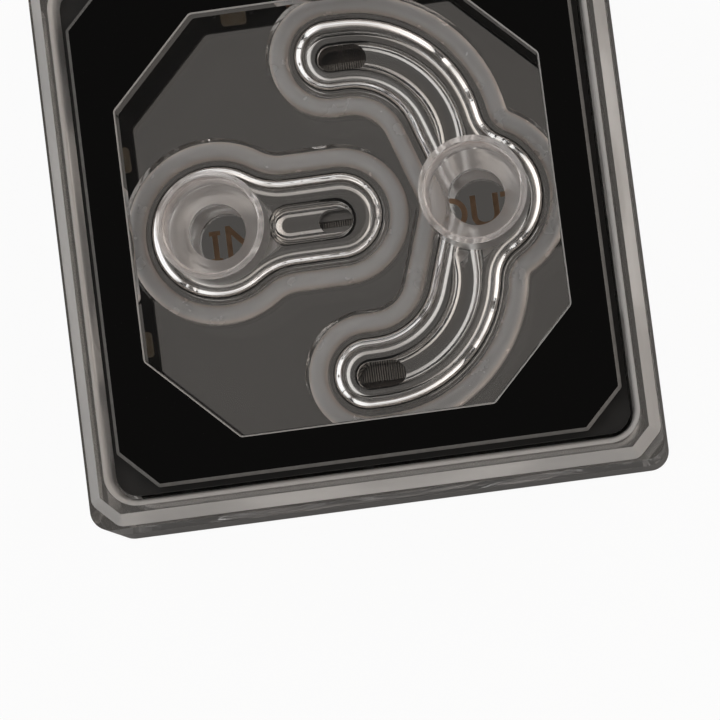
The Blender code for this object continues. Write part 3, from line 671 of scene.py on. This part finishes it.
tools = [waste, trench]
for side, name, path in ((-1, "inlet", inlet_seal_path()), (1, "outlet", outlet_seal_path())):
    floor = TOP - PORT_DEPTH
    tools.append(turned(f"{name}_port", [
        (PORT_MOUTH_R, TOP + PAST), (PORT_MOUTH_R, TOP),
        (PORT_MINOR_R, TOP - PORT_MOUTH_R + PORT_MINOR_R), (PORT_MINOR_R, floor),
        (PORT_BORE_R, floor - PORT_CONE), (PORT_BORE_R, POCKET_TOP - POCKET_ROUND)],
        (side * PORT_X, 0.0)))
    inset = -(GROOVE_HALF + POCKET_WALL)
    levels = [(inset, COVER_BASE - PAST), (inset, POCKET_TOP - POCKET_ROUND)]
    for k in range(1, ARC_STEPS + 1):
        angle = math.pi / 2 * k / ARC_STEPS
        levels.append((inset - POCKET_ROUND * (1 - math.cos(angle)),
                       POCKET_TOP - POCKET_ROUND * (1 - math.sin(angle))))
    tools.append(stacked(f"{name}_pocket", path, levels))
    tools.append(ring(f"{name}_groove", path, GROOVE_HALF, COVER_BASE - PAST,
                      COVER_BASE + 2 * SEAL_R + GAP))
    helix = grown(f"{name}_thread", tree, thread_sizes)
    helix.data.transform(Matrix.Translation((side * PORT_X, 0.0, floor + THREAD_START)))
    tools.append(helix)
for xy in COVER_SCREW_XY:
    tools.append(turned("cover_thread", [(shank, COVER_BASE - PAST),
                                         (shank, BODY_TOP + COVER_SCREW_GRIP + 2 * GAP)],
                        xy, SCREW_STEPS))
tools.append(box("header_notch", -HEADER_X / 2 - GAP, HEADER_X / 2 + GAP, TRENCH_HALF - PAST,
                 HALF + PAST, TRENCH_FLOOR, TRENCH_FLOOR + HEADER_H + 2 * GAP))

# Which faces the cutter leaves milky: the rim's slopes and the trench's outer wall, and the ports
frosted, feed, place = finish("milled slope", (0.6, 0.58, 0.56), 0.3, 0.0,
                              Transmission_Weight=0.45, IOR=1.49)
streaks = place.grain(900.0, 3.0, (0.15, 0.15, 1.0))
feed("Roughness", 0.3 + 0.12 * streaks)
feed("Base Color", streaks.mix((0.58, 0.565, 0.55, 1.0), (0.70, 0.685, 0.67, 1.0)))
milled, feed, place = finish("milled port", (0.9, 0.86, 0.84), 0.2, 0.0,
                             Transmission_Weight=0.78, IOR=1.49)
swirl = place.grain(420.0, 4.0)
lathe = place.grain(180.0, 2.0, (1.0, 1.0, 14.0))
feed("Base Color", swirl.mix((0.88, 0.83, 0.81, 1.0), (0.98, 0.95, 0.94, 1.0)))
feed("Roughness", 0.08 + 0.2 * swirl)
feed("Normal", lathe.bump(0.0002, 0.6))
carve(cover, tools, [acrylic, frosted, milled])
SLOPE_FROM, SLOPE_TO, SLOPE_TOP, SLOPE_OUT = 0.5, 0.65, TOP - 0.0005, HALF - 0.005
WALL_FROM, WALL_TO, LEVEL = WINDOW_HALF + 0.002, HALF - 0.0022, 0.99
PORT_LOW, PORT_HIGH = POCKET_TOP + 0.0002, TOP - 0.0001
for face in cover.data.polygons:
    middle = face.center
    out = max(abs(middle.x), abs(middle.y))
    from_port = math.hypot(abs(middle.x) - PORT_X, middle.y)
    sloped = SLOPE_FROM < face.normal.z < SLOPE_TO and middle.z < SLOPE_TOP
    upright = abs(face.normal.z) < LEVEL and TRENCH_FLOOR < middle.z < TOP
    if sloped and out > SLOPE_OUT:
        face.material_index = 1
    elif from_port < PORT_MOUTH_R and PORT_LOW < middle.z < PORT_HIGH:
        face.material_index = 2
    elif upright and WALL_FROM < out < WALL_TO:
        face.material_index = 1
seat_in(cover, "clear_acrylic", "clear_cover")


# Ring of lights: a black solder-masked board under the bezel, with light packages and small
# parts on its underside, and the black socket of its cable in the far side of the rim.
BOARD_LOW, BOARD_HIGH, NOTCH_Y = 0.0224, 0.0232, 0.0313
PARTS_SIDE, PARTS_Z, PARTS_COUNT, PARTS_SEED = 0.0582, 0.02215, 48, 4
PART_SIZE, SMALLEST, LARGEST = (0.0012, 0.0007, 0.0005), (0.5, 0.5, 0.7), (1.0, 1.0, 1.0)
mask, feed, place = finish("solder mask", (0.015, 0.015, 0.015), 0.45)
flecks = place.grain(420.0, 3.0)
feed("Base Color", flecks.mix((0.010, 0.010, 0.010, 1.0), (0.020, 0.019, 0.018, 1.0)))
feed("Roughness", 0.35 + 0.25 * flecks)
board = prism("ring_board", rounded_box(TRENCH_HALF - GAP, TRENCH_HALF - GAP, TRENCH_R - GAP),
              BOARD_LOW, BOARD_HIGH)
hole = prism("hole", octagon(WINDOW_HALF + GAP, WINDOW_CHAMFER), BOARD_LOW - PAST,
             BOARD_HIGH + PAST)
notch = box("notch", -HEADER_X / 2 - GAP, HEADER_X / 2 + GAP, NOTCH_Y, HALF, BOARD_LOW - PAST,
            BOARD_HIGH + PAST)
carve(board, [hole, notch], [mask])
seat_in(board, "black_board", "light_board")

chips, feed, place = finish("small board parts", (0.3, 0.2, 0.12), 0.35)
kind = place.grain(160.0, 0.0)
brown = kind.step(0.42, 0.44).mix((0.02, 0.02, 0.02, 1.0), (0.42, 0.20, 0.10, 1.0))
feed("Base Color", kind.step(0.55, 0.57).mix(brown, (0.40, 0.35, 0.26, 1.0)))
tree, given, add, end = node_tree("board parts", ("Side", 'NodeSocketFloat'),
                                  ("Count", 'NodeSocketInt'), ("Seed", 'NodeSocketInt'))
round_trip = add("GeometryNodeCurvePrimitiveQuadrilateral", None, {"Width": given["Side"],
                                                                   "Height": given["Side"]})
stops = add("GeometryNodeResampleCurve", None, {"Curve": round_trip.outputs[0],
                                                "Count": given["Count"]})
along = add("GeometryNodeInputTangent")
turn = add("FunctionNodeAlignRotationToVector", None, {"Vector": along.outputs[0]})
chip = add("GeometryNodeMeshCube", None, {"Size": PART_SIZE})
vary = add("FunctionNodeRandomValue", {"data_type": 'FLOAT_VECTOR'},
           {0: SMALLEST, 1: LARGEST, "Seed": given["Seed"]})
spread = add("GeometryNodeInstanceOnPoints", None, {"Points": stops.outputs[0],
                                                    "Instance": chip.outputs[0],
                                                    "Rotation": turn.outputs[0],
                                                    "Scale": vary.outputs[0]})
end(spread.outputs[0], chips)
parts = grown("board_parts", tree,
              {"Side": PARTS_SIDE, "Count": PARTS_COUNT, "Seed": PARTS_SEED})
parts.data.transform(Matrix.Translation((0.0, 0.0, PARTS_Z)))
flatten(parts, [chips])
seat_in(parts, "light_package")

package, feed, place = finish("light package", (0.80, 0.72, 0.55), 0.3)
lens = place.grain(900.0, 2.0)
feed("Base Color", lens.mix((0.36, 0.25, 0.14, 1.0), (0.52, 0.47, 0.38, 1.0)))
feed("Roughness", 0.2 + 0.25 * lens)
dress(package, *[f"light_{i}" for i in range(1, 9)])

housing, feed, place = finish("black socket plastic", (0.015, 0.015, 0.015), 0.45)
moulded = place.grain(1500.0, 2.0)
feed("Roughness", 0.38 + 0.2 * moulded)
feed("Normal", moulded.bump(0.000006))
dress(housing, "light_header")


# Bezel: black gloss acrylic frame over the lights, cut with narrow bevels along its outside and
# its octagonal window. The cutter leaves the bevels grey and satin beside the polished face; the
# window's bevel is painted paler than the outside one, a painted highlight.
BEZEL_T, BEZEL_CHAMFER, BEVEL, WINDOW_BEVEL = 0.0015, 0.0048, 0.00042, 0.0002
BEZEL_BASE = TOP - BEZEL_T
BEVEL_FROM, BEVEL_TO = 0.3, 0.95
black, feed, place = finish("black gloss", (0.001, 0.001, 0.001), 0.05, IOR=1.42)
dust = place.grain(5200.0, 2.0).step(0.72, 0.80)
feed("Base Color", dust.mix((0.0008, 0.0008, 0.0008, 1.0), (0.02, 0.02, 0.02, 1.0)))
feed("Roughness", 0.04 + 0.05 * place.grain(60.0, 3.0))
satin, feed, place = finish("cut bevel", (0.12, 0.115, 0.11), 0.4)
chatter = place.grain(1200.0, 2.0)
feed("Base Color", chatter.mix((0.07, 0.068, 0.065, 1.0), (0.14, 0.137, 0.132, 1.0)))
feed("Roughness", 0.25 + 0.15 * chatter)
# The window's bevel: the same cut, painted paler as a painted highlight.
window_bevel_highlight, feed, place = finish("window bevel with painted highlight", (0.4, 0.4, 0.39), 0.3)
nicks = place.grain(900.0, 2.0)
feed("Base Color", nicks.mix((0.36, 0.355, 0.345, 1.0), (0.50, 0.49, 0.48, 1.0)))
feed("Roughness", 0.25 + 0.15 * nicks)

bezel = stacked("bezel", octagon(BEZEL_HALF, BEZEL_CHAMFER),
                [(0.0, BEZEL_BASE), (0.0, TOP - BEVEL), (-BEVEL, TOP)])
window = stacked("bezel_window", octagon(WINDOW_HALF, WINDOW_CHAMFER),
                 [(0.0, BEZEL_BASE - PAST), (0.0, TOP - WINDOW_BEVEL),
                  (WINDOW_BEVEL + PAST, TOP + PAST)])
carve(bezel, [window], [black, satin, window_bevel_highlight])
for face in bezel.data.polygons:
    if BEVEL_FROM < face.normal.z < BEVEL_TO and face.center.z > TOP - BEVEL:
        outward = face.normal.x * face.center.x + face.normal.y * face.center.y
        # Outward bevels get the cut bevel; the window's bevels get the paler copy, a painted highlight.
        face.material_index = 1 if outward > 0 else 2
seat_in(bezel, "black_gloss", "black_bezel")


# Screws: eight flat heads hold the cold plate and four sunk cap heads clamp the cover, all from
# below. Plain steel with a hexagon socket, made by one tree with two sets of sizes.
PLATE_SOCKET_R, PLATE_SOCKET_DEPTH = 0.00125, 0.0008
COVER_SOCKET_R, COVER_SOCKET_DEPTH = 0.00143, 0.00144
steel, feed, place = finish("screw steel", (0.50, 0.49, 0.48), 0.3, 1.0)
scuffs = place.grain(1400.0, 3.0)
feed("Base Color", scuffs.mix((0.40, 0.39, 0.38, 1.0), (0.58, 0.57, 0.56, 1.0)))
feed("Roughness", 0.22 + 0.25 * scuffs)

sizes = ("Face Radius", "Neck Radius", "Head Height", "Shank Radius", "Length", "Socket Radius",
         "Socket Depth")
tree, given, add, end = node_tree("socket screw", *[(size, 'NodeSocketFloat') for size in sizes])
head = add("GeometryNodeMeshCone", None, {"Vertices": SCREW_STEPS, "Radius Bottom": given["Face Radius"],
                                          "Radius Top": given["Neck Radius"],
                                          "Depth": given["Head Height"]})
drop = add("ShaderNodeMath", {"operation": 'MULTIPLY'}, {0: given["Socket Depth"], 1: 2.0})
hexagon = add("GeometryNodeMeshCylinder", None, {"Vertices": 6, "Radius": given["Socket Radius"],
                                                 "Depth": drop.outputs[0]})
sunk = add("GeometryNodeMeshBoolean", {"operation": 'DIFFERENCE', "solver": 'EXACT'},
           {"Mesh 1": head.outputs["Mesh"], "Mesh 2": hexagon.outputs["Mesh"]})
stem = add("GeometryNodeMeshCylinder", None, {"Vertices": 32, "Radius": given["Shank Radius"],
                                              "Depth": given["Length"]})
half_stem = add("ShaderNodeMath", {"operation": 'MULTIPLY'}, {0: given["Length"], 1: 0.5})
raised = add("ShaderNodeMath", {"operation": 'ADD'}, {0: half_stem.outputs[0],
                                                      1: given["Head Height"]})
lift = add("ShaderNodeCombineXYZ", None, {"Z": raised.outputs[0]})
placed = add("GeometryNodeTransform", None, {"Geometry": stem.outputs["Mesh"],
                                             "Translation": lift.outputs[0]})
joined = add("GeometryNodeJoinGeometry")
tree.links.new(placed.outputs[0], joined.inputs[0])
tree.links.new(sunk.outputs["Mesh"], joined.inputs[0])
spread = add("GeometryNodeInstanceOnPoints", None, {"Points": given["Geometry"],
                                                    "Instance": joined.outputs[0]})
end(spread.outputs[0], steel)

plate_screws = grown("cold_plate_screws", tree, {
    "Face Radius": PLATE_SCREW_HEAD_R, "Neck Radius": PLATE_SCREW_R,
    "Head Height": PLATE_SCREW_HEAD_H, "Shank Radius": PLATE_SCREW_R,
    "Length": PLATE_T + PLATE_SCREW_GRIP - GAP - PLATE_SCREW_HEAD_H,
    "Socket Radius": PLATE_SOCKET_R, "Socket Depth": PLATE_SOCKET_DEPTH},
    [(x, y, GAP) for x, y in PLATE_SCREW_XY])
cap = SKIRT_BASE + GAP
cover_screws = grown("cover_screws", tree, {
    "Face Radius": COVER_SCREW_HEAD_R, "Neck Radius": COVER_SCREW_HEAD_R,
    "Head Height": COVER_SCREW_HEAD_H, "Shank Radius": COVER_SCREW_R,
    "Length": BODY_TOP + COVER_SCREW_GRIP - cap - COVER_SCREW_HEAD_H,
    "Socket Radius": COVER_SOCKET_R, "Socket Depth": COVER_SOCKET_DEPTH},
    [(x, y, cap) for x, y in COVER_SCREW_XY])
for screws, name, places in ((plate_screws, "cold_plate_screw", PLATE_SCREW_XY),
                             (cover_screws, "cover_screw", COVER_SCREW_XY)):
    flatten(screws, [steel])
    seat_in(screws, "screw_steel", *[f"{name}_{i}" for i in range(1, len(places) + 1)])


# Studio: a white floor that keeps a faint shadow and is painted dark under and round the block, a
# painted shadow that mirror and glass rays see, a dim ceiling straight above that the plating
# mirrors, and bright soft walls all round. The camera looks down at the angle of the photograph.
FLOOR_HALF, FLOOR_GLOW, FLOOR_MIRRORED = 2.0, 0.94, 0.95
GLOW_FROM, GLOW_TO = 0.001, 0.02
CEILING_FROM, CEILING_TO, CEILING_LIGHT, WALL_LIGHT = 0.80, 0.87, 0.115, 0.5
WEST_LIGHT, EAST_LIGHT = 0.5, 0.85
SENSOR_WIDTH, FOCAL_LENGTH = 36.0, 230.1
CAMERA_AT = (0.04353, -0.07387, 0.59001)
CAMERA_RIGHT = (0.9882, -0.12519, -0.08829)
CAMERA_UP = (0.13271, 0.98748, 0.08528)
CAMERA_BACK = (0.0765, -0.09599, 0.99244)
floor_skin = bpy.data.materials.new("pale floor")
floor_skin.use_nodes = True
tree = floor_skin.node_tree
tree.nodes.clear()
path = tree.nodes.new("ShaderNodeLightPath")
camera_ray = Wire(path.outputs["Is Camera Ray"])
seen = camera_ray.larger(Wire(path.outputs["Is Glossy Ray"]))
seen = seen.larger(Wire(path.outputs["Is Transmission Ray"]))
spot = Wire(tree.nodes.new("ShaderNodeTexCoord").outputs["Object"])
# Mirror and glass rays see no glow under the block and, fading out, up to 2 cm round it, only the floor
# painted dark: a painted shadow.
beyond = spot.part("X").size().larger(spot.part("Y").size()) - HALF
mirrored_glow_past_painted_shadow = FLOOR_MIRRORED * beyond.step(GLOW_FROM, GLOW_TO) * (1 - camera_ray)
share = (FLOOR_GLOW * camera_ray).larger(mirrored_glow_past_painted_shadow)
# The floor's colour is 0.8 for the camera, which shows its real faint shadow, and a painted dark 0.19
# for every other ray, the painted shadow.
floor_grey_with_painted_shadow = camera_ray.mix((0.19, 0.19, 0.19, 1.0), (0.8, 0.8, 0.8, 1.0))
plain = seen.node("ShaderNodeBsdfDiffuse", None, {"Color": floor_grey_with_painted_shadow})
white = seen.node("ShaderNodeEmission", None, {"Color": (1.0, 1.0, 1.0, 1.0), "Strength": 1.0})
both = seen.node("ShaderNodeMixShader", None, {0: seen * share, 1: plain, 2: white})
out = tree.nodes.new("ShaderNodeOutputMaterial")
tree.links.new(both.socket, out.inputs["Surface"])
mesh = bpy.data.meshes.new("floor")
corners = [(-FLOOR_HALF, -FLOOR_HALF), (FLOOR_HALF, -FLOOR_HALF), (FLOOR_HALF, FLOOR_HALF),
           (-FLOOR_HALF, FLOOR_HALF)]
mesh.from_pydata(level(corners, 0.0), [], [(0, 1, 2, 3)])
mesh.materials.append(floor_skin)
floor = bpy.data.objects.new("floor", mesh)
scene.collection.objects.link(floor)

world = bpy.data.worlds.new("studio")
world.use_nodes = True
scene.world = world
tree = world.node_tree
sky = tree.nodes["Background"]
path = tree.nodes.new("ShaderNodeLightPath")
camera_ray = Wire(path.outputs["Is Camera Ray"])
way = Wire(tree.nodes.new("ShaderNodeTexCoord").outputs["Generated"])
up = way.part("Z")
walls = 1 - up.step(CEILING_FROM, CEILING_TO)
west, east = (0 - way.part("X")).step(0.1, 0.6), way.part("X").step(0.2, 0.9)
side_light = WALL_LIGHT + WEST_LIGHT * west + EAST_LIGHT * east
shade = CEILING_LIGHT + walls * side_light
warmth = way.part("X").step(-0.9, 0.5)
tint = warmth.mix((1.0, 0.99, 0.98, 1.0), (1.0, 0.93, 0.87, 1.0))
tree.links.new(camera_ray.mix(tint, (1.0, 1.0, 1.0, 1.0)).socket, sky.inputs["Color"])
strength = shade * (1 - camera_ray) + camera_ray
tree.links.new(strength.socket, sky.inputs["Strength"])

lens = bpy.data.cameras.new("camera")
lens.sensor_width = SENSOR_WIDTH
lens.lens = FOCAL_LENGTH
lens.clip_start, lens.clip_end = 0.05, 10.0
camera = bpy.data.objects.new("camera", lens)
turn = Matrix((CAMERA_RIGHT, CAMERA_UP, CAMERA_BACK)).transposed().to_4x4()
camera.matrix_world = Matrix.Translation(CAMERA_AT) @ turn
scene.collection.objects.link(camera)
scene.camera = camera
